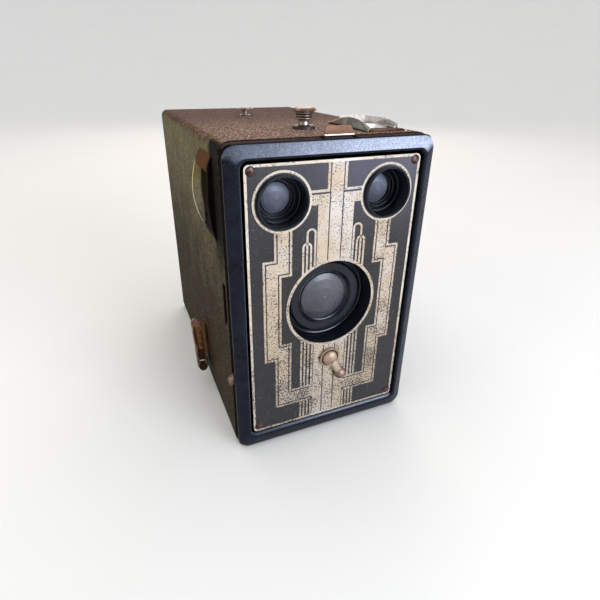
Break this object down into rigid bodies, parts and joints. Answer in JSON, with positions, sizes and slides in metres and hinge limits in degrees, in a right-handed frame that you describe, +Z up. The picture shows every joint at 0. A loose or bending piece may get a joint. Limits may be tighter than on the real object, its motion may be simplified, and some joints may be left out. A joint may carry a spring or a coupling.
{
  "type": "box camera",
  "caption": "Box camera for roll film with a stepped-pattern metal front, two finders, winding key and slide-out inner unit.",
  "frame": {"origin": "centre of the case's underside, half way across the case's width; Y is zero 75 mm behind the front plate", "axes": "+Z up, lens looks along -Y, +X towards the side away from the winding key"},
  "size_m": [0.0947, 0.1553, 0.1452],
  "materials": {
    "steel_shell": "matt black lacquer",
    "leatherette": "pebble grain, worn",
    "bezel_enamel": "gloss black enamel",
    "plate_enamel": "black enamel with a cream metal pattern",
    "rusty_pin": "rusted",
    "black_tube": "gloss black",
    "clear_glass": "clear, dusty",
    "window_glass": "ground",
    "mirror": "silvered",
    "hood_metal": "tarnished nickel and copper",
    "nickel": "worn nickel",
    "copper_tab": "tarnished copper",
    "key_metal": "rusted nickel",
    "ruby": "ruby celluloid",
    "black_sheet": "matt black",
    "bare_steel": "bare steel",
    "spool_metal": "black lacquer"
  },
  "bodies": {
    "case": {"case_shell": "steel_shell", "leatherette_wrap": "leatherette", "leatherette_base": "leatherette", "leatherette_back": "leatherette", "red_window_ring": "bare_steel", "red_window": "ruby", "pressure_plate": "black_sheet", "pressure_springs": "bare_steel", "top_finder_hood": "hood_metal", "top_finder_glass": "window_glass", "side_finder_hood": "hood_metal", "side_finder_glass": "window_glass", "strap_stud": "nickel", "screw_collar": "nickel", "key_escutcheon": "key_metal"},
    "front_unit": {"bezel": "bezel_enamel", "deco_plate": "plate_enamel", "plate_pins": "rusty_pin", "finder_tube_left": "black_tube", "finder_tube_right": "black_tube", "finder_lens_left": "clear_glass", "finder_lens_right": "clear_glass", "finder_box_left": "black_sheet", "finder_box_right": "black_sheet", "finder_mirror_left": "mirror", "finder_mirror_right": "mirror", "lens_well": "black_tube", "lens_ring": "black_tube", "main_lens": "clear_glass", "front_chassis": "black_sheet", "shutter_plate": "black_sheet", "shutter_posts": "bare_steel", "shutter_spring": "bare_steel", "lock_tongue": "black_sheet", "camera_cone": "black_sheet", "carrier_side_left": "black_sheet", "carrier_side_right": "black_sheet", "film_gate": "black_sheet", "spool_pins": "bare_steel"},
    "closeup": {"closeup_lever": "copper_tab", "closeup_arm": "bare_steel", "closeup_lens": "clear_glass"},
    "shutter_lever": {"shutter_lever": "copper_tab"},
    "shutter_disc": {"shutter_disc": "bare_steel"},
    "aperture_slide": {"aperture_slide": "copper_tab"},
    "time_slide": {"time_slide": "copper_tab"},
    "film_roller_top": {"film_roller_top": "bare_steel"},
    "film_roller_bottom": {"film_roller_bottom": "bare_steel"},
    "takeup_spool": {"takeup_spool": "spool_metal", "drive_dog": "bare_steel"},
    "lock_screw": {"lock_knob": "nickel", "clamp_foot": "nickel"},
    "key_sleeve": {"key_sleeve": "key_metal"},
    "winding_key": {"winding_key": "key_metal", "key_shaft": "key_metal"}
  },
  "joints": [
    {"name": "front_slide", "type": "slide", "parent": "case", "child": "front_unit", "axis": [0, -1, 0], "range_m": [0, 0.15]},
    {"name": "closeup_swing", "type": "hinge", "parent": "front_unit", "child": "closeup", "pos_m": [0, -0.076, 0.0416], "axis": [0, 1, 0], "range_deg": [0, 60]},
    {"name": "lever_swing", "type": "hinge", "parent": "front_unit", "child": "shutter_lever", "pos_m": [-0.014, -0.0711, 0.042], "axis": [0, 1, 0], "range_deg": [0, 20]},
    {"name": "disc_turn", "type": "hinge", "parent": "front_unit", "child": "shutter_disc", "pos_m": [0.007, -0.0586, 0.081], "axis": [0, 1, 0], "range_deg": [0, 62]},
    {"name": "aperture_lift", "type": "slide", "parent": "front_unit", "child": "aperture_slide", "axis": [0, 0, 1], "range_m": [0, 0.008]},
    {"name": "time_pull", "type": "slide", "parent": "front_unit", "child": "time_slide", "axis": [-1, 0, 0], "range_m": [0, 0.008]},
    {"name": "roller_top_spin", "type": "hinge", "parent": "front_unit", "child": "film_roller_top", "pos_m": [0, 0.0605, 0.1275], "axis": [1, 0, 0], "continuous": true},
    {"name": "roller_bottom_spin", "type": "hinge", "parent": "front_unit", "child": "film_roller_bottom", "pos_m": [0, 0.0605, 0.0107], "axis": [1, 0, 0], "continuous": true},
    {"name": "takeup_spin", "type": "hinge", "parent": "front_unit", "child": "takeup_spool", "pos_m": [0, -0.0178, 0.0247], "axis": [1, 0, 0], "continuous": true},
    {"name": "knob_turn", "type": "hinge", "parent": "case", "child": "lock_screw", "pos_m": [0, -0.0425, 0.1366], "axis": [0, 0, 1], "range_deg": [0, 720]},
    {"name": "key_pull", "type": "slide", "parent": "case", "child": "key_sleeve", "axis": [-1, 0, 0], "range_m": [0, 0.004]},
    {"name": "key_spin", "type": "hinge", "parent": "key_sleeve", "child": "winding_key", "pos_m": [-0.045, -0.0178, 0.0247], "axis": [1, 0, 0], "continuous": true}
  ],
  "couplings": [
    {"joint": "takeup_spin", "follows": "key_spin", "ratio": 1},
    {"joint": "disc_turn", "follows": "lever_swing", "ratio": 3.1}
  ]
}
